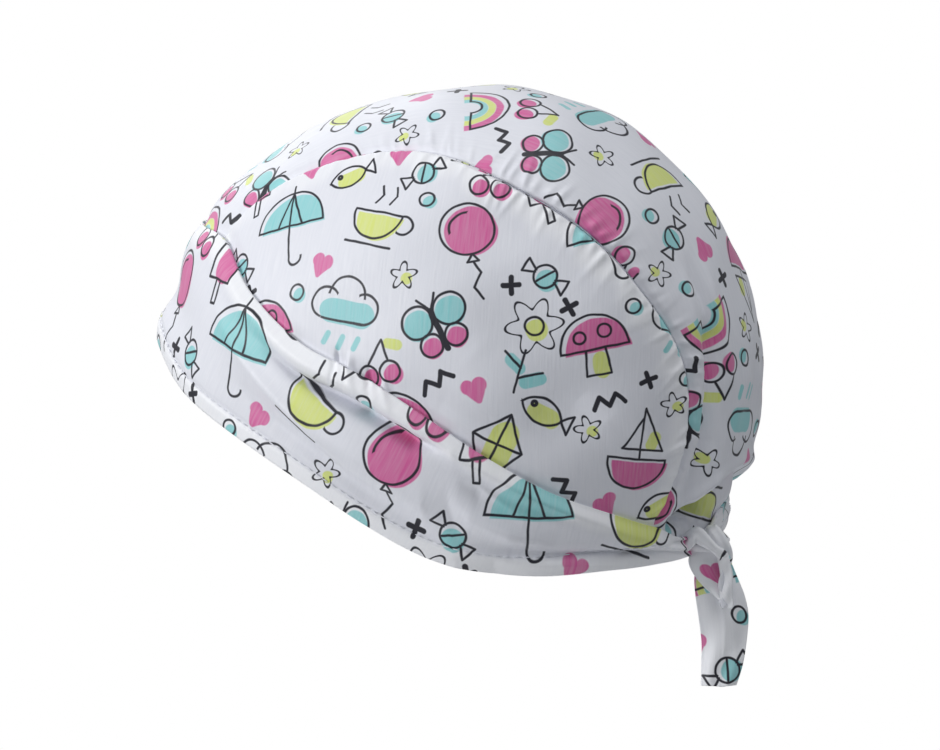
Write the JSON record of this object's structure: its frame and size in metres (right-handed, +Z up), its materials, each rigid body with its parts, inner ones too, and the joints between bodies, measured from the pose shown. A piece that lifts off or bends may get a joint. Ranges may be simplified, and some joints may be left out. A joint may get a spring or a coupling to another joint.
{
  "type": "bandana cap",
  "caption": "Soft cloth cap in its worn form: gathered crown panel between side panels, wide brow band round the rim, band ends knotted at the nape with hanging tails.",
  "frame": {"origin": "middle of the head at the height of the cap's widest girth, where the cap sits", "axes": "+Z up, -Y towards the face, +X towards the wearer's left"},
  "size_m": [0.169, 0.2214, 0.204],
  "materials": {
    "cloth": "white printed cotton, satin"
  },
  "bodies": {
    "root": {"crown_panel": "cloth", "side_panel_left": "cloth", "side_panel_right": "cloth", "brow_band": "cloth", "tie_knot": "cloth", "tie_tail_long": "cloth", "tie_tail_short": "cloth"}
  },
  "joints": []
}
